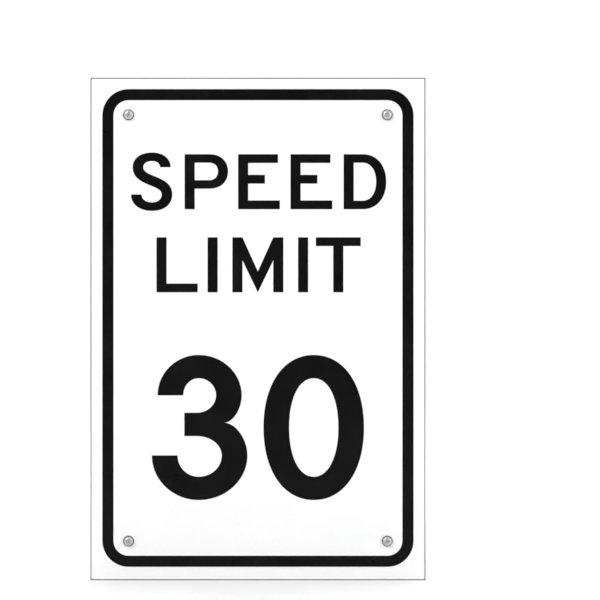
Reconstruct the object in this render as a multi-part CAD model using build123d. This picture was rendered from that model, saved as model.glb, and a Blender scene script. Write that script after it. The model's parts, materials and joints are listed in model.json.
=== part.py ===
from build123d import *
import math
import os
from collections import namedtuple

# A small rectangular road sign as it comes apart on a bench, in millimetres:
#   - a composite panel, which is a polyethylene core between two aluminium skins
#   - a white face film, trimmed just short of the panel's edge
#   - a black border and a legend, every letter and numeral cut from black film
#   - a bolt set through each corner: machine screw, sealing washer, plain washer, lock washer, nut
#
# Frame: +X is to the reader's right, +Z is up and +Y points away from the reader, out of the back.
# The origin is the centre of the four studs, on the plane of the nuts' rear faces. That plane is
# where the rail or post that carries the sign seats, and the studs stand out of it along +Y.

# ---- Panel and films -------------------------------------------------------------------------
PANEL_WIDTH = 200.0
PANEL_HEIGHT = 300.0
PANEL_DROP = 0.6          # the panel was cut this much low, so that its centre is below that of its studs
CORNER_BREAK = 0.6        # radius that deburring leaves on the panel's four corners
SKIN_THICKNESS = 0.3
CORE_THICKNESS = 2.4
FACE_FILM_THICKNESS = 0.2
BLACK_FILM_THICKNESS = 0.1
FACE_FILM_TRIM = 0.65     # width of bare skin that shows round the face film

# ---- Border ----------------------------------------------------------------------------------
BORDER_WIDTH = 185.7
BORDER_HEIGHT = 285.1
BORDER_STROKE = 6.6
BORDER_RADIUS = 15.6      # outer radius of the border's corners

# ---- Bolt sets, M3 ---------------------------------------------------------------------------
# The threads are drawn smooth. Where a screw is clamped, in the panel and its nut, it has the thread's pitch
# radius, which is where the two threads share the space. Where it stands free it has its outer radius.
BOLT_SPACING_X = 154.4    # the bolts sit close to the centres of the border's round corners
BOLT_SPACING_Z = 254.4
PANEL_HOLE_RADIUS = 1.7
THREAD_RADIUS = 1.5
PITCH_RADIUS = 1.34
THREAD_ROOM = 0.01        # between a screw's clamped stretch and its nut's bore
SHANK_LENGTH = 16.0
SHANK_POINT = 0.4         # chamfer at the screw's end
HEAD_RADIUS = 2.8
HEAD_HEIGHT = 2.4
HEAD_RIM = 0.7            # height of the upright part of the head's side
HEAD_FULLNESS = 0.72      # flattens the crown of the head, where a quarter ellipse is 0.55
RECESS_SPAN = 3.0
RECESS_WIDTH = 0.75
RECESS_DEPTH = 1.4
RECESS_TIP_RADIUS = 0.45
SEAL_RADIUS = 3.2
SEAL_HOLE_RADIUS = 1.55
SEAL_THICKNESS = 0.5
PLAIN_WASHER_RADIUS = 3.5
WASHER_HOLE_RADIUS = 1.6
PLAIN_WASHER_THICKNESS = 0.5
LOCK_WASHER_RADIUS = 2.95
LOCK_WASHER_THICKNESS = 0.7
LOCK_WASHER_GAP = 0.5
LOCK_WASHER_SLANT = 25.0
NUT_ACROSS_FLATS = 5.5
NUT_THICKNESS = 2.4
NUT_BORE_CHAMFER = 0.25
NUT_CORNER_ANGLE = 30.0
NUT_FACE_SHARE = 0.95     # the round washer face's width, as a share of the width across the flats
BOLT_TURNS = (14.0, 51.0, 33.0, 76.0)         # how far each bolt set happened to turn as it was tightened

# ---- Legend ----------------------------------------------------------------------------------
# height, stroke of the upright stems, stroke of the level bars, and how far a round letter passes its line
Style = namedtuple("Style", "height stem bar overshoot")
LETTERS = Style(height=32.8, stem=6.0, bar=5.2, overshoot=1.0)
NUMERALS = Style(height=84.2, stem=15.3, bar=13.9, overshoot=1.2)
TOP_WORD_LINE = 70.9      # height of each row's base line above the origin
LOWER_WORD_LINE = 21.3
NUMERAL_LINE = -101.5
WORD_SHIFT = 0.4          # the two words were laid on a little to the right of the centre line
QUARTER_ELLIPSE = 0.5523  # share of the way to the corner that a handle goes, for a true quarter ellipse
LETTER_FULLNESS = 0.6     # the round letters are fuller than ellipses
BOWL_BAR = 0.97           # a round letter's level strokes are this much thinner than a straight one's

# ---- The stack, from the seating plane forwards, as places on Y ------------------------------
NUT_FRONT = -NUT_THICKNESS
LOCK_WASHER_FRONT = NUT_FRONT - LOCK_WASHER_THICKNESS
PANEL_BACK = LOCK_WASHER_FRONT - PLAIN_WASHER_THICKNESS
BACK_SKIN_FRONT = PANEL_BACK - SKIN_THICKNESS
CORE_FRONT = BACK_SKIN_FRONT - CORE_THICKNESS
PANEL_FRONT = CORE_FRONT - SKIN_THICKNESS
FACE_FILM_FRONT = PANEL_FRONT - FACE_FILM_THICKNESS
HEAD_SEAT = FACE_FILM_FRONT - SEAL_THICKNESS

ACROSS, UPRIGHT = "across", "upright"


def bolt_spots():
    """The places of the four bolts, as drawn on the sign's face."""
    return GridLocations(BOLT_SPACING_X, BOLT_SPACING_Z, 2, 2)


# ---- Flat pieces -----------------------------------------------------------------------------
def layer(outline, back, thickness):
    """A flat piece: the outline, drawn with x to the right and y up, from Y = back towards the reader."""
    return extrude(Plane.XZ.offset(-back) * outline, amount=thickness)


def drilled_sheet(trim, back, thickness):
    """A full sheet of the panel, less a trim all round, with its four bolt holes."""
    sheet = RectangleRounded(PANEL_WIDTH - 2 * trim, PANEL_HEIGHT - 2 * trim, CORNER_BREAK)
    holes = [spot * Circle(PANEL_HOLE_RADIUS) for spot in bolt_spots()]
    return layer(Pos(Y=-PANEL_DROP) * sheet - holes, back, thickness)


def border():
    """The black frame line with rounded corners."""
    outer = RectangleRounded(BORDER_WIDTH, BORDER_HEIGHT, BORDER_RADIUS)
    inner = RectangleRounded(
        BORDER_WIDTH - 2 * BORDER_STROKE,
        BORDER_HEIGHT - 2 * BORDER_STROKE,
        BORDER_RADIUS - BORDER_STROKE,
    )
    return layer(outer - inner, FACE_FILM_FRONT, BLACK_FILM_THICKNESS)


# ---- Letters and numerals --------------------------------------------------------------------
class Outline:
    """A closed outline drawn point by point, from x and y at its lower left."""

    def __init__(self, x, y):
        self.start = self.at = (x, y)
        self.edges = []

    def line(self, *points):
        for point in points:
            self.edges.append(Line(self.at, point))
            self.at = point
        return self

    def curve(self, x, y, leaves, fullness=QUARTER_ELLIPSE):
        """A quarter turn to x, y that leaves across or upright and arrives the other way."""
        (x0, y0), run, rise = self.at, x - self.at[0], y - self.at[1]
        if leaves == ACROSS:
            handles = (x0 + fullness * run, y0), (x, y - fullness * rise)
        else:
            handles = (x0, y0 + fullness * rise), (x - fullness * run, y)
        self.edges.append(Bezier(self.at, *handles, (x, y)))
        self.at = (x, y)
        return self

    def sway(self, x, y, leaving, arriving):
        """An S bend to x, y, upright at both ends, which holds to its first line over the length leaving
        and settles into its last over the length arriving."""
        x0, y0 = self.at
        upwards = math.copysign(1, y - y0)
        handles = (x0, y0 + upwards * leaving), (x, y - upwards * arriving)
        self.edges.append(Bezier(self.at, *handles, (x, y)))
        self.at = (x, y)
        return self

    def face(self):
        if self.at != self.start:
            self.line(self.start)
        return make_face(self.edges)


def block(x0, y0, x1, y1):
    """An upright rectangle between two opposite corners."""
    return Outline(x0, y0).line((x1, y0), (x1, y1), (x0, y1)).face()


def letter_s(style):
    width, inset = 24.6, 1.0                  # the upper bowl is narrower by the inset at both sides
    stem, bar, fullness = 1.05 * style.stem, BOWL_BAR * style.bar, LETTER_FULLNESS
    high, low = 0.764 * style.height, 0.268 * style.height
    middle, top = 0.51 * width, style.height + style.overshoot
    leaving, arriving = 0.35 * style.height, 0.19 * style.height
    return (
        Outline(width - inset, high)
        .curve(middle, top, UPRIGHT, fullness)
        .curve(inset, high, ACROSS, fullness)
        .sway(width - stem, low, leaving, arriving)
        .curve(middle, bar - style.overshoot, UPRIGHT, fullness)
        .curve(stem, low, ACROSS, fullness)
        .line((0, low))
        .curve(middle, -style.overshoot, UPRIGHT, fullness)
        .curve(width, low, ACROSS, fullness)
        .sway(inset + stem, high, leaving, arriving)
        .curve(middle, top - bar, UPRIGHT, fullness)
        .curve(width - inset - stem, high, ACROSS, fullness)
        .face()
    )


def stem_and_bowl(style, width, shoulder, bottom):
    """A P or a D: its stem, and a bowl that is straight as far as its shoulders and then round."""
    left, middle = style.stem / 2, (style.height + bottom) / 2

    def half_round(inset_x, inset_y):
        return (
            Outline(left, bottom + inset_y)
            .line((left, style.height - inset_y), (shoulder, style.height - inset_y))
            .curve(width - inset_x, middle, ACROSS, LETTER_FULLNESS)
            .curve(shoulder, bottom + inset_y, UPRIGHT, LETTER_FULLNESS)
            .face()
        )

    bowl = half_round(0, 0) - half_round(style.stem, BOWL_BAR * style.bar)
    return block(0, 0, style.stem, style.height) + bowl


def letter_p(style):
    return stem_and_bowl(style, width=25.9, shoulder=14.8, bottom=0.374 * style.height)


def letter_d(style):
    return stem_and_bowl(style, width=25.4, shoulder=11.4, bottom=0)


def letter_e(style):
    width, top_arm, middle_arm = 24.9, 23.8, 16.0
    middle = 0.545 * style.height
    return (
        block(0, 0, style.stem, style.height)
        + block(0, 0, width, style.bar)
        + block(0, middle - style.bar / 2, middle_arm, middle + style.bar / 2)
        + block(0, style.height - style.bar, top_arm, style.height)
    )


def letter_l(style):
    width = 24.6
    return block(0, 0, style.stem, style.height) + block(0, 0, width, style.bar)


def letter_i(style):
    return block(0, 0, style.stem, style.height)


def letter_m(style):
    width, notch_top, notch_bottom = 30.4, 0.38 * style.height, 0.582 * style.height
    return (
        Outline(0, 0)
        .line((0, style.height), (style.stem, style.height), (width / 2, notch_top))
        .line((width - style.stem, style.height), (width, style.height), (width, 0))
        .line((width - style.stem, 0), (width - style.stem, notch_bottom), (width / 2, 0))
        .line((style.stem, notch_bottom), (style.stem, 0))
        .face()
    )


def letter_t(style):
    width = 26.8
    stem_left = (width - style.stem) / 2
    stem = block(stem_left, 0, stem_left + style.stem, style.height)
    return stem + block(0, style.height - style.bar, width, style.height)


def numeral_3(style):
    width, inset = 57.0, 3.4                  # the upper bowl is narrower by the inset at both sides
    middle, top = 0.49 * width, style.height + style.overshoot
    high, low = 0.728 * style.height, 0.302 * style.height
    waist = 0.522 * style.height              # level of the middle bar
    cleft_x, cleft_y = 0.755 * width, waist + 1.0             # where the two bowls meet on the right
    cleft_fullness = 0.5
    bar_low, bar_high = waist - style.bar / 2, waist + style.bar / 2
    bar_left, bar_right = 0.34 * width, 0.47 * width
    return (
        Outline(inset, high)
        .curve(middle, top, UPRIGHT)
        .curve(width - inset, high, ACROSS)
        .curve(cleft_x, cleft_y, UPRIGHT, cleft_fullness)
        .curve(width, low, ACROSS, cleft_fullness)
        .curve(middle, -style.overshoot, UPRIGHT)
        .curve(0, low, ACROSS)
        .line((style.stem, low))
        .curve(middle, style.bar - style.overshoot, UPRIGHT)
        .curve(width - style.stem, low, ACROSS)
        .curve(bar_right, bar_low, UPRIGHT)
        .line((bar_left, bar_low), (bar_left, bar_high), (bar_right, bar_high))
        .curve(width - inset - style.stem, high, ACROSS)
        .curve(middle, top - style.bar, UPRIGHT)
        .curve(inset + style.stem, high, ACROSS)
        .face()
    )


def numeral_0(style):
    width, fullness = 60.0, 0.6               # fuller than an ellipse, so that its sides run nearly straight

    def ring(inset_x, inset_y):
        middle_x, middle_y = width / 2, style.height / 2
        top, bottom = style.height + style.overshoot - inset_y, inset_y - style.overshoot
        return (
            Outline(inset_x, middle_y)
            .curve(middle_x, top, UPRIGHT, fullness)
            .curve(width - inset_x, middle_y, ACROSS, fullness)
            .curve(middle_x, bottom, UPRIGHT, fullness)
            .curve(inset_x, middle_y, ACROSS, fullness)
            .face()
        )

    return ring(0, 0) - ring(style.stem, style.bar)


# Each row: its style, its base line, its shift to the right, and its letters in reading order. A letter
# has its node's name, the function that draws it, and the gap before it, which is wider between two stems
# than at an open side.
ROWS = (
    (LETTERS, TOP_WORD_LINE, WORD_SHIFT, (
        ("top_letter_s", letter_s, 0.0),
        ("top_letter_p", letter_p, 7.4),
        ("top_letter_e_left", letter_e, 6.0),
        ("top_letter_e_right", letter_e, 6.4),
        ("top_letter_d", letter_d, 6.8),
    )),
    (LETTERS, LOWER_WORD_LINE, WORD_SHIFT, (
        ("lower_letter_l", letter_l, 0.0),
        ("lower_letter_i_left", letter_i, 5.9),
        ("lower_letter_m", letter_m, 8.8),
        ("lower_letter_i_right", letter_i, 8.8),
        ("lower_letter_t", letter_t, 4.6),
    )),
    (NUMERALS, NUMERAL_LINE, 0.0, (
        ("numeral_3", numeral_3, 0.0),
        ("numeral_0", numeral_0, 9.6),
    )),
)


def legend_row(style, base_line, shift, letters):
    """The pieces of one row of the legend, centred but for the shift, by node name."""
    placed, x = {}, 0.0
    for name, draw, gap in letters:
        outline = draw(style)
        x += gap
        placed[name] = (x, outline)
        x += outline.bounding_box().size.X
    start = shift - x / 2
    return {
        name: layer(Pos(start + left, base_line) * outline, FACE_FILM_FRONT, BLACK_FILM_THICKNESS)
        for name, (left, outline) in placed.items()
    }


# ---- Bolt sets -------------------------------------------------------------------------------
# Each piece is made round Z, with its seat on the reader's side at Z = 0 and the screw's point at +Z.
def at_corners(piece, y):
    """The piece at all four bolts, its Z = 0 on the plane Y = y, each turned as its bolt was."""
    bolt_line = Plane((0, y, 0), x_dir=(1, 0, 0), z_dir=(0, 1, 0))
    return Compound([
        bolt_line.location * spot * Rot(Z=turn) * piece for spot, turn in zip(bolt_spots(), BOLT_TURNS)
    ])


def turned(*points):
    """A solid of revolution about Z, from points of radius and Z."""
    corners = [(radius, 0, z) for radius, z in points]
    return revolve(make_face(Polyline(*corners, close=True)), Axis.Z)


def flat_ring(radius, hole_radius, thickness):
    return extrude(Circle(radius) - Circle(hole_radius), amount=thickness)


def screw():
    """A pan head machine screw with a cross recess. Its head stands on the -Z side."""
    rim, crown = (HEAD_RADIUS, 0, -HEAD_RIM), (0, 0, -HEAD_HEIGHT)
    dome_height = HEAD_HEIGHT - HEAD_RIM
    dome = Bezier(
        crown,
        (HEAD_FULLNESS * HEAD_RADIUS, 0, -HEAD_HEIGHT),
        (HEAD_RADIUS, 0, -HEAD_RIM - HEAD_FULLNESS * dome_height),
        rim,
    )
    clamped = -HEAD_SEAT
    side = Polyline(
        rim,
        (HEAD_RADIUS, 0, 0),
        (PITCH_RADIUS, 0, 0),
        (PITCH_RADIUS, 0, clamped),
        (THREAD_RADIUS, 0, clamped),
        (THREAD_RADIUS, 0, SHANK_LENGTH - SHANK_POINT),
        (THREAD_RADIUS - SHANK_POINT, 0, SHANK_LENGTH),
        (0, 0, SHANK_LENGTH),
        crown,
    )
    blank = revolve(make_face([dome, *side.edges()]), Axis.Z)
    return blank - Pos(Z=-HEAD_HEIGHT) * cross_recess()


def cross_recess():
    """The tool that leaves a cross recess: two crossed blades that narrow towards the tip."""
    seat = (Align.CENTER, Align.CENTER, Align.MIN)
    blade = Box(RECESS_SPAN, RECESS_WIDTH, RECESS_DEPTH, align=seat)
    cone = Cone(RECESS_SPAN / 2, RECESS_TIP_RADIUS, RECESS_DEPTH, align=seat)
    return (blade + Rot(Z=90) * blade) & cone


def lock_washer():
    """A spring lock washer, pressed flat, with the slanted cut that lets it bite."""
    cut = Rot(X=LOCK_WASHER_SLANT) * Box(
        2 * LOCK_WASHER_RADIUS, LOCK_WASHER_GAP, 4 * LOCK_WASHER_THICKNESS
    )
    ring = flat_ring(LOCK_WASHER_RADIUS, WASHER_HOLE_RADIUS, LOCK_WASHER_THICKNESS)
    return ring - Pos(LOCK_WASHER_RADIUS, 0, LOCK_WASHER_THICKNESS / 2) * cut


def nut():
    """A hexagon nut with its corners and its bore chamfered at both faces."""
    flat = NUT_ACROSS_FLATS / 2
    corner = flat / math.cos(math.pi / 6)
    washer_face = NUT_FACE_SHARE * flat
    drop = (corner - washer_face) * math.tan(math.radians(NUT_CORNER_ANGLE))
    bore = PITCH_RADIUS + THREAD_ROOM
    mouth = bore + NUT_BORE_CHAMFER
    barrel = turned(
        (mouth, 0),
        (washer_face, 0),
        (corner, drop),
        (corner, NUT_THICKNESS - drop),
        (washer_face, NUT_THICKNESS),
        (mouth, NUT_THICKNESS),
        (bore, NUT_THICKNESS - NUT_BORE_CHAMFER),
        (bore, NUT_BORE_CHAMFER),
    )
    return barrel & extrude(RegularPolygon(flat, 6, major_radius=False), amount=NUT_THICKNESS)


# ---- Every node ------------------------------------------------------------------------------
def all_nodes():
    nodes = {
        "back_skin": drilled_sheet(0, PANEL_BACK, SKIN_THICKNESS),
        "core_sheet": drilled_sheet(0, BACK_SKIN_FRONT, CORE_THICKNESS),
        "front_skin": drilled_sheet(0, CORE_FRONT, SKIN_THICKNESS),
        "face_film": drilled_sheet(FACE_FILM_TRIM, PANEL_FRONT, FACE_FILM_THICKNESS),
        "border_film": border(),
        "sealing_washers": at_corners(
            flat_ring(SEAL_RADIUS, SEAL_HOLE_RADIUS, SEAL_THICKNESS), HEAD_SEAT
        ),
        "screws": at_corners(screw(), HEAD_SEAT),
        "plain_washers": at_corners(
            flat_ring(PLAIN_WASHER_RADIUS, WASHER_HOLE_RADIUS, PLAIN_WASHER_THICKNESS), PANEL_BACK
        ),
        "lock_washers": at_corners(lock_washer(), LOCK_WASHER_FRONT),
        "nuts": at_corners(nut(), NUT_FRONT),
    }
    for row in ROWS:
        nodes.update(legend_row(*row))
    return nodes


os.makedirs("parts", exist_ok=True)
for node_name, node_shape in all_nodes().items():
    export_step(node_shape, f"parts/{node_name}.step")
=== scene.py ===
import json
import math

import bmesh
import bpy
from mathutils import Matrix, Vector


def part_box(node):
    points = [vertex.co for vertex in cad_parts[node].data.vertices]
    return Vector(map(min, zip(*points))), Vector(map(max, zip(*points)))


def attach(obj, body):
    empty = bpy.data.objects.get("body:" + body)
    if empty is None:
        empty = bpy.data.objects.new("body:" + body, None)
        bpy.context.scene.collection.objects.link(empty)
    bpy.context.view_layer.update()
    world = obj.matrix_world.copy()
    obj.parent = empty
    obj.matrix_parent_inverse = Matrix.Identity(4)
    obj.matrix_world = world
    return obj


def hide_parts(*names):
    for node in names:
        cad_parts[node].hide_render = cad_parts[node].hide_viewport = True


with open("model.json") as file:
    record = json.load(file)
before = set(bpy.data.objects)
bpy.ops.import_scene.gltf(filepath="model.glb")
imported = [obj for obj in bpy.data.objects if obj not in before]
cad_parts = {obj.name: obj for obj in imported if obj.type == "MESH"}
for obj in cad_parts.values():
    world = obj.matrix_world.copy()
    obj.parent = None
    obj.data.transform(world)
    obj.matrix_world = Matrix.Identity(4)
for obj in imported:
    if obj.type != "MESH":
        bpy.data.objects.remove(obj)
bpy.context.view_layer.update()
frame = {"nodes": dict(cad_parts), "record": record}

# A rectangular road sign plate with a bolt set through each corner, standing on its lower edge in a pale
# studio. Metres, +Z up, and the face looks along -Y. The CAD nodes of the panel and its films stay, with
# better materials. The small hardware is built again here as finer meshes: real threads and recesses, and
# edges broken as they are on real metal.

MM = 0.001

# ---- What the frame gives --------------------------------------------------------------------
studs = frame["record"]["mounts"][0]["dims"]
BOLT_X = studs["spacing_x_mm"] * MM / 2
BOLT_Z = studs["spacing_y_mm"] * MM / 2
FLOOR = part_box("core_sheet")[0].z
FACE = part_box("border_film")[0].y


def span(node):
    """Where a piece of hardware begins and ends along Y, in millimetres."""
    low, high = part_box(node)
    return low.y / MM, high.y / MM


# ---- Hardware, M3, in millimetres ------------------------------------------------------------
ROUND = 72                     # segments round a turned part; a multiple of 12, so that it suits the nuts
HEAD_RADIUS = 2.8
HEAD_RIM = 0.7                 # height of the upright part of the head's side
HEAD_FULLNESS = 0.72           # how full the dome is: a straight cone at 0, square-shouldered at 1
HEAD_EDGE = 0.12               # rounding of the head's lower edge
RECESS_SPAN = 1.5              # half of the cross recess, wing tip to centre, at the crown
RECESS_WING = 0.375            # half of a wing's width, at the crown
RECESS_TAPER = 0.9             # a wing's width at its lower end, as a share of its width at the crown
RECESS_DEPTH = 1.4
RECESS_TIP = 0.5               # radius where the wings end and the pointed bottom begins
RECESS_POINT = 0.25            # depth of that pointed bottom
RECESS_ABOVE = 0.4             # how far the punch stands out of the head
CROSS_CRISPNESS = 8            # the higher, the sharper the corners of the cross
THREAD_RADIUS = studs["stud_r_mm"]
THREAD_PITCH = 0.5
THREAD_DEPTH = 0.6134 * THREAD_PITCH
THREAD_FLANK = 5 / 16          # of a pitch, along the screw
THREAD_CREST = 1 / 8           # the same; the root takes what the crest and both flanks leave
POINT_CHAMFER = 0.4            # at the screw's end
NUT_FLATS = 5.5
NUT_FACE = 0.95                # radius of the flat face, as a share of half the width across the flats
NUT_CONE = math.radians(30)    # slope of the chamfer that takes off the six corners
NUT_BORE = 1.3                 # radius, a little inside the screw's thread
NUT_MOUTH = 1.6                # radius of the countersink at each face
NUT_EDGE = 0.07
WASHER_RADIUS = 3.5
WASHER_HOLE = 1.6
WASHER_EDGE = 0.08
LOCK_RADIUS = 2.95
LOCK_GAP = 0.5
LOCK_SLANT = math.radians(25)
LOCK_EDGE = 0.07
SEAL_RADIUS = 3.2
SEAL_HOLE = 1.45
SEAL_EDGE = 0.16
WELD = 1e-4                    # vertices closer than this are one
SHARP = math.radians(38)       # a steeper edge is shaded as an edge

# each bolt set's side of the sign on X and on Z, and how far it turned as it was tightened, in degrees
BOLTS = {
    "upper_left": (-1, 1, 14),
    "lower_left": (-1, -1, 51),
    "upper_right": (1, 1, 33),
    "lower_right": (1, -1, 76),
}

# ---- Picture and studio ----------------------------------------------------------------------
LENS = 135.0                   # a long lens: the sign is seen square on, with no perspective to speak of
SENSOR = 36.0
VIEW_WIDTH = 0.3581            # what the picture takes in, across, at the sign's face
VIEW_CENTRE = (0.0251, 0.0167)  # the picture's middle on X and Z: the sign sits to the left of it and below

# soft lamps: where each stands, what it points at, its width and height, and its power in watts
LAMPS = {
    "key": ((-1.1, -1.6, 1.3), (0, 0, 0), 1.4, 1.1, 27),
    "fill": ((1.5, -1.7, 0.8), (0, 0, 0), 1.2, 1.0, 17.5),
    "overhead": ((0.2, 0.5, 2.2), (0, 0.3, 0), 2.2, 2.2, 30),
    "backdrop": ((0, 0.9, 2.1), (0, 3.1, 0.2), 2.6, 0.8, 31),
}
ROOM_LIGHT = 0.32              # the even light from all round

COVE_FLAT = 2.3                # radius of the level floor
COVE_SWEEP = 0.9               # radius of the bend between floor and wall
COVE_WALL = 2.4                # height of the wall's top edge
COVE_STEPS = 24                # facets up the bend
COVE_ROUND = 144               # and round the room
COVE_SHADE = 0.90
CARD_SHADE = 0.18
CARD_DISTANCE = 2.1            # from the sign, behind the camera
CARD_HALF = math.radians(25)   # to each side of the camera's line of sight
CARD_HEIGHT = 2.2
CARD_STEPS = 24


# ---- Mesh making -----------------------------------------------------------------------------
def skin(bm, rows, shift=0):
    """Faces between successive rows of vertices, closed on themselves. With a shift, the end of each row
    meets the start of the row that many further on, as in a screw thread."""
    last = len(rows[0]) - 1
    for lower, upper in zip(range(len(rows) - 1 - shift), range(1, len(rows) - shift)):
        for i in range(last):
            bm.faces.new((rows[lower][i], rows[lower][i + 1], rows[upper][i + 1], rows[upper][i]))
        bm.faces.new(
            (rows[lower][last], rows[lower + shift][0], rows[upper + shift][0], rows[upper][last])
        )


def ring(bm, radius, height, segments=ROUND):
    """A ring of vertices round Z. At no radius they all stand in one place, and are welded later."""
    return [
        bm.verts.new((radius * math.cos(turn), radius * math.sin(turn), height))
        for turn in (math.tau * i / segments for i in range(segments))
    ]


def lathe(bm, profile, segments=ROUND, closed=False):
    """A turned shape round Z through points of radius and height. A closed profile makes a ring."""
    rows = [ring(bm, radius, height, segments) for radius, height in profile]
    skin(bm, rows + rows[:1] if closed else rows)


def rounded(points, radius, steps=4):
    """The closed outline through these points of radius and height, with every corner rounded."""
    outline = []
    for before, corner, after in zip(points[-1:] + points, points, points[1:] + points[:1]):
        at = Vector(corner)
        start = at + (Vector(before) - at).normalized() * radius
        end = at + (Vector(after) - at).normalized() * radius
        for step in range(steps + 1):
            t = step / steps
            outline.append(tuple((1 - t) ** 2 * start + 2 * t * (1 - t) * at + t**2 * end))
    return outline


def bezier(start, first, second, end, steps):
    """Points along a cubic curve, both ends included."""
    controls = [Vector(p) for p in (start, first, second, end)]
    curve = []
    for step in range(steps + 1):
        t = step / steps
        weights = ((1 - t) ** 3, 3 * t * (1 - t) ** 2, 3 * t**2 * (1 - t), t**3)
        curve.append(tuple(sum((w * p for w, p in zip(weights, controls)), Vector((0, 0)))))
    return curve


def loose_object(name, bm):
    """The welded bmesh as an object. Hardware is still in millimetres here."""
    bmesh.ops.remove_doubles(bm, verts=bm.verts, dist=WELD)
    bmesh.ops.dissolve_degenerate(bm, edges=bm.edges, dist=WELD)
    bmesh.ops.recalc_face_normals(bm, faces=bm.faces)
    mesh = bpy.data.meshes.new(name)
    bm.to_mesh(mesh)
    bm.free()
    piece = bpy.data.objects.new(name, mesh)
    bpy.context.scene.collection.objects.link(piece)
    return piece


def applied(piece):
    """Turns the piece's modifiers into its mesh."""
    bpy.context.view_layer.update()
    graph = bpy.context.evaluated_depsgraph_get()
    old = piece.data
    piece.data = bpy.data.meshes.new_from_object(piece.evaluated_get(graph))
    piece.modifiers.clear()
    bpy.data.meshes.remove(old)


def combine(piece, tool, operation):
    """Cuts the tool out of the piece, or keeps only what lies in both. The tool is used up."""
    step = piece.modifiers.new("combine", "BOOLEAN")
    step.object = tool
    step.operation = operation
    step.solver = "EXACT"
    applied(piece)
    bpy.data.objects.remove(tool)


def break_edges(piece, width):
    """Rounds every edge that is sharper than SHARP."""
    step = piece.modifiers.new("edges", "BEVEL")
    step.width = width
    step.segments = 2
    step.limit_method = "ANGLE"
    step.angle_limit = SHARP
    applied(piece)


def finished_mesh(piece):
    """The mesh in metres, smooth but for its sharp edges. The loose object is used up."""
    mesh = piece.data
    bm = bmesh.new()
    bm.from_mesh(mesh)
    bmesh.ops.remove_doubles(bm, verts=bm.verts, dist=WELD)
    bmesh.ops.dissolve_degenerate(bm, edges=bm.edges, dist=WELD)
    for face in bm.faces:
        face.smooth = True
    for edge in bm.edges:
        edge.smooth = edge.calc_face_angle(0) < SHARP
    bmesh.ops.scale(bm, vec=(MM, MM, MM), verts=bm.verts)
    bm.to_mesh(mesh)
    bm.free()
    bpy.data.objects.remove(piece)
    return mesh


# ---- Hardware meshes -------------------------------------------------------------------------
# Each is made round Z in millimetres, with Z = 0 where it meets the piece on its face side, as in the CAD.
def thread_radius(height, turn):
    """Radius of the thread at a height above the head's seat and a share of a turn round Z."""
    phase = (height / THREAD_PITCH - turn) % 1.0
    rise = min(phase, 2 * THREAD_FLANK + THREAD_CREST - phase) / THREAD_FLANK
    return THREAD_RADIUS - THREAD_DEPTH * (1 - max(0.0, min(1.0, rise)))


def threaded_rows(bm, length):
    """Rows of vertices that climb with the thread, cut off square at both ends, and pointed at the far one.
    Each turn has as many rows as the second thing returned."""
    top = THREAD_FLANK + THREAD_CREST
    phases = (0, THREAD_FLANK / 2, THREAD_FLANK, top, top + THREAD_FLANK / 2, top + THREAD_FLANK)
    turns = math.ceil(length / THREAD_PITCH) + 3
    rows = []
    for level in (whole + phase for whole in range(-1, turns) for phase in phases):
        row = []
        for i in range(ROUND):
            turn = i / ROUND
            height = max(0.0, min(length, THREAD_PITCH * (level + turn)))
            point = THREAD_RADIUS - POINT_CHAMFER + length - height
            radius = min(point, thread_radius(height, turn))
            x, y = radius * math.cos(math.tau * turn), radius * math.sin(math.tau * turn)
            row.append(bm.verts.new((x, y, height)))
        rows.append(row)
    return rows, len(phases)


def cross_outline(reach, wing):
    """Points round a cross with rounded wing tips and softened inner corners. Reach is from the centre to a
    wing's tip, and wing is half of a wing's width."""
    edge = math.asin(wing / reach)
    flank = [edge + (math.pi / 4 - edge) * t for t in (0.3, 0.6, 0.85, 1)]
    half = [0, edge / 2, edge] + flank
    quarter = half + [math.pi / 2 - angle for angle in reversed(half[1:-1])]
    points = []
    for angle in (a + q * math.pi / 2 for q in range(4) for a in quarter):
        sides = abs(math.sin(angle)), abs(math.cos(angle))
        bars = [min(reach, wing / max(side, 1e-9)) for side in sides]
        radius = min(reach, sum(bar**CROSS_CRISPNESS for bar in bars) ** (1 / CROSS_CRISPNESS))
        points.append((radius * math.cos(angle), radius * math.sin(angle)))
    return points


def recess_tool(crown):
    """The punch that leaves a cross recess: its wings slope in towards a round, pointed tip."""
    shoulder = RECESS_DEPTH - RECESS_POINT
    slope = (RECESS_SPAN - RECESS_TIP) / shoulder
    levels = (
        (crown - RECESS_ABOVE, RECESS_SPAN + slope * RECESS_ABOVE, RECESS_WING),
        (crown, RECESS_SPAN, RECESS_WING),
        (crown + shoulder, RECESS_TIP, RECESS_TAPER * RECESS_WING),
    )
    bm = bmesh.new()
    rows = [
        [bm.verts.new((x, y, height)) for x, y in cross_outline(reach, wing)]
        for height, reach, wing in levels
    ]
    rows.append([bm.verts.new((0, 0, crown + RECESS_DEPTH)) for _ in rows[0]])
    skin(bm, rows)
    bm.faces.new(rows[0])
    return loose_object("recess_tool", bm)


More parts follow.
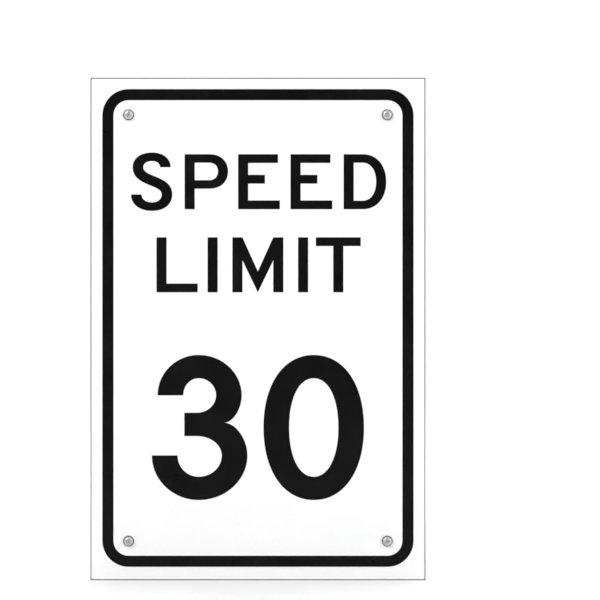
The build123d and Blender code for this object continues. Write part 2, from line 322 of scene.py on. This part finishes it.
def screw_mesh():
    """A pan head machine screw with a cross recess. Z = 0 is where the head bears."""
    crown, end = span("screws")
    seat = span("sealing_washers")[0]
    height = seat - crown
    dome = bezier(
        (0, -height),
        (HEAD_FULLNESS * HEAD_RADIUS, -height),
        (HEAD_RADIUS, -HEAD_RIM - HEAD_FULLNESS * (height - HEAD_RIM)),
        (HEAD_RADIUS, -HEAD_RIM),
        steps=16,
    )
    corner = (HEAD_RADIUS, 0)
    lower_edge = bezier((HEAD_RADIUS, -HEAD_EDGE), corner, corner, (HEAD_RADIUS - HEAD_EDGE, 0), steps=4)
    bm = bmesh.new()
    thread, shift = threaded_rows(bm, end - seat)
    head = [ring(bm, radius, z) for radius, z in dome + lower_edge]
    skin(bm, head + thread[:1])
    skin(bm, thread, shift)
    bm.faces.new(thread[-1 - shift])
    piece = loose_object("screw", bm)
    combine(piece, recess_tool(-height), "DIFFERENCE")
    return finished_mesh(piece)


def nut_mesh():
    """A hexagon nut: a turned barrel with coned ends and a countersunk bore, cut down to six flats."""
    back, front = span("nuts")
    thick = front - back
    corner = NUT_FLATS / 2 / math.cos(math.pi / 6)
    barrel_radius = 1.02 * corner              # so that the hexagon cuts into it all the way round
    face = NUT_FACE * NUT_FLATS / 2
    cone = (barrel_radius - face) * math.tan(NUT_CONE)
    mouth = NUT_MOUTH - NUT_BORE
    bm = bmesh.new()
    lathe(bm, [
        (NUT_MOUTH, 0),
        (face, 0),
        (barrel_radius, cone),
        (barrel_radius, thick - cone),
        (face, thick),
        (NUT_MOUTH, thick),
        (NUT_BORE, thick - mouth),
        (NUT_BORE, mouth),
    ], closed=True)
    barrel = loose_object("nut", bm)
    bm = bmesh.new()
    rows = [ring(bm, corner, z, segments=6) for z in (-1, thick + 1)]      # past both of the nut's faces
    skin(bm, rows)
    for row in rows:
        bm.faces.new(row)
    combine(barrel, loose_object("hexagon", bm), "INTERSECT")
    break_edges(barrel, NUT_EDGE)
    return finished_mesh(barrel)


def washer_mesh(node, radius, hole, edge):
    """A flat ring as thick as the node, with its edges rounded."""
    back, front = span(node)
    thick = front - back
    corners = [(hole, 0), (radius, 0), (radius, thick), (hole, thick)]
    bm = bmesh.new()
    lathe(bm, rounded(corners, edge), closed=True)
    return finished_mesh(loose_object(node, bm))


def lock_washer_mesh():
    """A flattened coil of square wire. The cut between its ends slants, so that an edge bites."""
    back, front = span("lock_washers")
    thick = front - back
    corners = [(WASHER_HOLE, 0), (LOCK_RADIUS, 0), (LOCK_RADIUS, thick), (WASHER_HOLE, thick)]
    section = rounded(corners, LOCK_EDGE)
    half_gap = LOCK_GAP / 2 / LOCK_RADIUS
    bm = bmesh.new()
    rows = []
    for step in range(ROUND + 1):
        row = []
        for radius, z in section:
            lean = (thick / 2 - z) * math.tan(LOCK_SLANT) / LOCK_RADIUS
            turn = half_gap + (math.tau - 2 * half_gap) * step / ROUND + lean
            row.append(bm.verts.new((radius * math.cos(turn), radius * math.sin(turn), z)))
        rows.append(row)
    skin(bm, rows)
    bm.faces.new(rows[0])
    bm.faces.new(rows[-1])
    return finished_mesh(loose_object("lock_washer", bm))


# ---- Materials -------------------------------------------------------------------------------
class Finish:
    """A material with a Principled shader, and the noises that vary it over the surface."""

    def __init__(self, name, **constants):
        self.material = bpy.data.materials.new(name)
        self.material.use_nodes = True
        self.nodes = self.material.node_tree.nodes
        self.links = self.material.node_tree.links
        self.shader = self.nodes["Principled BSDF"]
        self.place = self.nodes.new("ShaderNodeTexCoord").outputs["Object"]
        for socket, value in constants.items():
            self.shader.inputs[socket.replace("_", " ")].default_value = value

    def node(self, kind, inputs, **settings):
        """A new node. An input that is another node's output is linked, and any other is set."""
        made = self.nodes.new("ShaderNode" + kind)
        for name, value in settings.items():
            setattr(made, name, value)
        for name, value in inputs.items():
            if isinstance(value, bpy.types.NodeSocket):
                self.links.new(value, made.inputs[name])
            else:
                made.inputs[name].default_value = value
        return made

    def grain(self, size, detail=3.0, stretch=(1, 1, 1), roughness=0.5):
        """Noise whose features are about this many metres across, drawn out along the larger stretches."""
        scale = tuple(1 / (size * s) for s in stretch)
        mapped = self.node("Mapping", {"Vector": self.place, "Scale": scale})
        return self.node("TexNoise", {
            "Vector": mapped.outputs[0], "Scale": 1.0, "Detail": detail, "Roughness": roughness,
        }).outputs["Fac"]

    def between(self, factor, low, high, start=0.3, stop=0.7):
        """A number that goes from low to high as the factor goes from start to stop."""
        return self.node("MapRange", {
            "Value": factor, "From Min": start, "From Max": stop, "To Min": low, "To Max": high,
        }).outputs[0]

    def blend(self, factor, first, second):
        """The first colour where the factor is 0, the second where it is 1."""
        return self.node("MixRGB", {"Fac": factor, "Color1": first, "Color2": second}).outputs[0]

    def sum(self, first, second, share):
        """The first number and this share of the second."""
        scaled = self.node("Math", {0: second, 1: share}, operation="MULTIPLY").outputs[0]
        return self.node("Math", {0: first, 1: scaled}, operation="ADD").outputs[0]

    def colour(self, socket):
        self.links.new(socket, self.shader.inputs["Base Color"])

    def roughness(self, socket):
        self.links.new(socket, self.shader.inputs["Roughness"])

    def relief(self, *heights):
        """Bumps, each a height from 0 to 1 and its depth in metres, one on top of the other."""
        normal = None
        for height, depth in heights:
            inputs = {"Height": height, "Distance": depth, "Strength": 1.0}
            if normal is not None:
                inputs["Normal"] = normal
            normal = self.node("Bump", inputs).outputs[0]
        self.links.new(normal, self.shader.inputs["Normal"])


def grey(value, warmth=0.0):
    """A grey, or with some warmth, a grey with more red and less blue in it."""
    return (value * (1 + warmth), value, value * (1 - warmth), 1.0)


def white_sheeting():
    """Sign sheeting: glass beads under a clear top coat, laid on with the least trace of a roller."""
    film = Finish("white_sheeting", Specular_IOR_Level=0.5, Coat_Weight=0.2, Coat_Roughness=0.22)
    clouds = film.grain(0.05, detail=4)
    beads = film.grain(0.00028, detail=1)
    roller = film.grain(0.012, detail=2, stretch=(6, 1, 1))
    specks = film.grain(0.0016, detail=3)
    tone = film.blend(film.between(clouds, 0, 1), grey(0.905, 0.002), grey(0.872, -0.003))
    beaded = film.blend(film.between(beads, 0, 0.6), tone, grey(0.79))
    film.colour(film.blend(film.between(specks, 0, 0.5, 0.74, 0.80), beaded, grey(0.62, 0.03)))
    film.roughness(film.between(film.sum(clouds, roller, 0.4), 0.34, 0.52, 0.4, 1.0))
    film.relief((roller, 0.00004), (beads, 0.00003))
    return film.material


def black_film():
    """Cut film: near black, satin, with the dust and hair scratches of handling."""
    film = Finish("black_film", Specular_IOR_Level=0.10)
    clouds = film.grain(0.02, detail=4)
    dust = film.grain(0.0006, detail=2)
    peel = film.grain(0.0018, detail=2)
    scuffs = film.grain(0.0012, detail=3, stretch=(14, 1, 1.6))
    tone = film.blend(film.between(clouds, 0, 1), grey(0.0018), grey(0.0036, -0.02))
    film.colour(film.blend(film.between(dust, 0, 0.6, 0.66, 0.78), tone, grey(0.022)))
    film.roughness(film.between(film.sum(clouds, scuffs, 0.6), 0.27, 0.44, 0.5, 1.2))
    film.relief((peel, 0.00003), (scuffs, 0.00001))
    return film.material


def rolled_aluminium(name, shade):
    """Mill finish sheet: fine rolling lines up and down, with cloudy patches and a few stray scratches."""
    metal = Finish(name, Metallic=1.0)
    lines = metal.grain(0.00035, detail=4, stretch=(1, 1, 120), roughness=0.7)
    wide_lines = metal.grain(0.004, detail=3, stretch=(1, 1, 40))
    clouds = metal.grain(0.045, detail=5, roughness=0.6)
    scratch = metal.grain(0.003, detail=2, stretch=(14, 1, 0.4))
    pits = metal.grain(0.0005, detail=2)
    tone = metal.blend(metal.between(clouds, 0, 1), grey(shade, -0.006), grey(0.82 * shade, -0.012))
    streaked = metal.blend(metal.between(lines, 0, 0.7), tone, grey(0.60 * shade, -0.01))
    metal.colour(metal.blend(metal.between(pits, 0, 0.5, 0.70, 0.78), streaked, grey(0.35 * shade)))
    worn = metal.sum(metal.sum(lines, clouds, 0.8), wide_lines, 0.5)
    metal.roughness(metal.between(worn, 0.24, 0.46, 0.85, 1.45))
    metal.relief(
        (wide_lines, 0.00002),
        (lines, 0.000014),
        (metal.between(scratch, 0, 1, 0.70, 0.76), 0.00001),
        (metal.between(pits, 1, 0, 0.70, 0.78), 0.00002),
    )
    return metal.material


def sawn_plastic():
    """The polyethylene core, seen only at its sawn edges: fine saw marks through the thickness."""
    core = Finish("sawn_plastic", Specular_IOR_Level=0.4)
    teeth = core.grain(0.0006, detail=3, stretch=(1, 14, 1))
    smear = core.grain(0.008, detail=4)
    core.colour(core.blend(core.between(teeth, 0, 1), grey(0.022), grey(0.055)))
    core.roughness(core.between(core.sum(teeth, smear, 1.0), 0.48, 0.78, 0.7, 1.3))
    core.relief((smear, 0.00008), (teeth, 0.00006))
    return core.material


def zinc_plate():
    """Zinc on steel, a little cloudy and blue, with drawn-in tool marks."""
    metal = Finish("zinc_plate", Metallic=1.0)
    clouds = metal.grain(0.0016, detail=4)
    marks = metal.grain(0.00022, detail=2, stretch=(5, 1, 1))
    tone = metal.blend(metal.between(clouds, 0, 1), grey(0.62, -0.02), grey(0.52, 0.015))
    metal.colour(metal.blend(metal.between(marks, 0, 0.45), tone, grey(0.38, 0.02)))
    metal.roughness(metal.between(metal.sum(clouds, marks, 0.5), 0.38, 0.54, 0.5, 1.1))
    metal.relief((clouds, 0.000015), (marks, 0.000006))
    return metal.material


def sealing_rubber():
    """Black rubber with a dry grey bloom in patches."""
    rubber = Finish("sealing_rubber", Specular_IOR_Level=0.3)
    bloom = rubber.grain(0.0015, detail=4)
    mould_grain = rubber.grain(0.00012, detail=2)
    rubber.colour(rubber.blend(rubber.between(bloom, 0, 1), grey(0.012), grey(0.026)))
    rubber.roughness(rubber.between(bloom, 0.62, 0.85))
    rubber.relief((mould_grain, 0.000008))
    return rubber.material


def studio_paper(name, shade):
    """Matt paper, very slightly mottled."""
    paper = Finish(name, Specular_IOR_Level=0.1)
    mottle = paper.grain(0.4, detail=3)
    paper.colour(paper.blend(paper.between(mottle, 0, 1), grey(shade), grey(0.985 * shade)))
    paper.roughness(paper.between(mottle, 0.85, 0.95))
    return paper.material


# ---- Dressing the frame ----------------------------------------------------------------------
def paint_nodes():
    """Gives every CAD node that stays in sight its material. Letters, numerals and border are black film,
    and the front skin, bare only at its rim, is darker than the back: painted shade, so that its rim reads
    as a dark line round the face."""
    black = black_film()
    materials = {
        "face_film": white_sheeting(),
        "core_sheet": sawn_plastic(),
        # the front skin's darker tone is painted shade: it makes the bare rim show as a dark edge line
        # round the face
        "front_skin": rolled_aluminium("rim_shaded_aluminium", 0.27),
        "back_skin": rolled_aluminium("rolled_aluminium", 0.60),
    }
    for name, node in frame["nodes"].items():
        node.data.materials.clear()
        node.data.materials.append(materials.get(name, black))


def bolt_place(side_x, side_z, turn, y):
    """Puts a piece made round Z at a bolt, with its Z along the sign's Y."""
    lay = Matrix(((1, 0, 0, 0), (0, 0, 1, 0), (0, -1, 0, 0), (0, 0, 0, 1)))
    place = Matrix.Translation((side_x * BOLT_X, y * MM, side_z * BOLT_Z))
    return place @ lay @ Matrix.Rotation(math.radians(turn), 4, "Z")


def fit_hardware():
    """A bolt set at each corner, which stands for the CAD's."""
    zinc, rubber = zinc_plate(), sealing_rubber()
    seal = washer_mesh("sealing_washers", SEAL_RADIUS, SEAL_HOLE, SEAL_EDGE)
    washer = washer_mesh("plain_washers", WASHER_RADIUS, WASHER_HOLE, WASHER_EDGE)
    # the piece, the node that it stands for, the node at whose face side its Z = 0 lies, and its looks
    kinds = (
        ("screw", "screws", "sealing_washers", screw_mesh(), zinc, "plated_steel"),
        ("sealing_washer", "sealing_washers", "sealing_washers", seal, rubber, "rubber"),
        ("plain_washer", "plain_washers", "plain_washers", washer, zinc, "plated_steel"),
        ("lock_washer", "lock_washers", "lock_washers", lock_washer_mesh(), zinc, "plated_steel"),
        ("nut", "nuts", "nuts", nut_mesh(), zinc, "plated_steel"),
    )
    for kind, node, seat, mesh, material, slot in kinds:
        mesh.materials.clear()
        mesh.materials.append(material)
        for corner, (side_x, side_z, turn) in BOLTS.items():
            piece = bpy.data.objects.new(f"{kind}_{corner}", mesh)
            bpy.context.scene.collection.objects.link(piece)
            piece.matrix_world = bolt_place(side_x, side_z, turn, span(seat)[0])
            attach(piece, "root")
            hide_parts(node)


# ---- Camera, light and stage -----------------------------------------------------------------
def make_camera():
    data = bpy.data.cameras.new("camera")
    data.lens = LENS
    data.sensor_width = SENSOR
    camera = bpy.data.objects.new("camera", data)
    bpy.context.scene.collection.objects.link(camera)
    distance = VIEW_WIDTH * LENS / SENSOR
    camera.location = (VIEW_CENTRE[0], FACE - distance, VIEW_CENTRE[1])
    camera.rotation_euler = (math.radians(90), 0, 0)
    bpy.context.scene.camera = camera


def make_lamps():
    for name, (place, target, width, height, power) in LAMPS.items():
        data = bpy.data.lights.new(name, "AREA")
        data.shape = "RECTANGLE"
        data.size = width
        data.size_y = height
        data.energy = power
        lamp = bpy.data.objects.new(name, data)
        bpy.context.scene.collection.objects.link(lamp)
        lamp.location = place
        lamp.rotation_euler = (Vector(target) - Vector(place)).to_track_quat("-Z", "Y").to_euler()


def make_world():
    world = bpy.data.worlds.new("studio")
    bpy.context.scene.world = world
    world.use_nodes = True
    background = world.node_tree.nodes["Background"]
    background.inputs["Color"].default_value = (1, 1, 1, 1)
    background.inputs["Strength"].default_value = ROOM_LIGHT
    bpy.context.scene.view_settings.view_transform = "Standard"


def make_cove():
    """A level floor that sweeps up into a wall, all the way round."""
    profile = [(0, FLOOR), (COVE_FLAT / 2, FLOOR), (COVE_FLAT, FLOOR)]
    for step in range(1, COVE_STEPS + 1):
        turn = math.pi / 2 * step / COVE_STEPS
        out, up = COVE_SWEEP * math.sin(turn), COVE_SWEEP * (1 - math.cos(turn))
        profile.append((COVE_FLAT + out, FLOOR + up))
    profile.append((COVE_FLAT + COVE_SWEEP, FLOOR + COVE_WALL))
    bm = bmesh.new()
    lathe(bm, profile, segments=COVE_ROUND)
    cove = loose_object("stage_cove", bm)
    for face in cove.data.polygons:
        face.use_smooth = True
    cove.data.materials.append(studio_paper("studio_paper", COVE_SHADE))


def make_card():
    """A curved grey card behind the camera, which keeps the black film dark and gives the bright metal
    something to mirror."""
    bm = bmesh.new()
    columns = []
    for step in range(CARD_STEPS + 1):
        turn = CARD_HALF * (2 * step / CARD_STEPS - 1)
        x, y = CARD_DISTANCE * math.sin(turn), -CARD_DISTANCE * math.cos(turn)
        columns.append([bm.verts.new((x, y, FLOOR + z)) for z in (0, CARD_HEIGHT)])
    for first, second in zip(columns, columns[1:]):
        bm.faces.new((first[0], second[0], second[1], first[1]))
    card = loose_object("stage_card", bm)
    card.data.materials.append(studio_paper("grey_card", CARD_SHADE))


make_camera()
make_lamps()
make_world()
make_cove()
make_card()
paint_nodes()
fit_hardware()
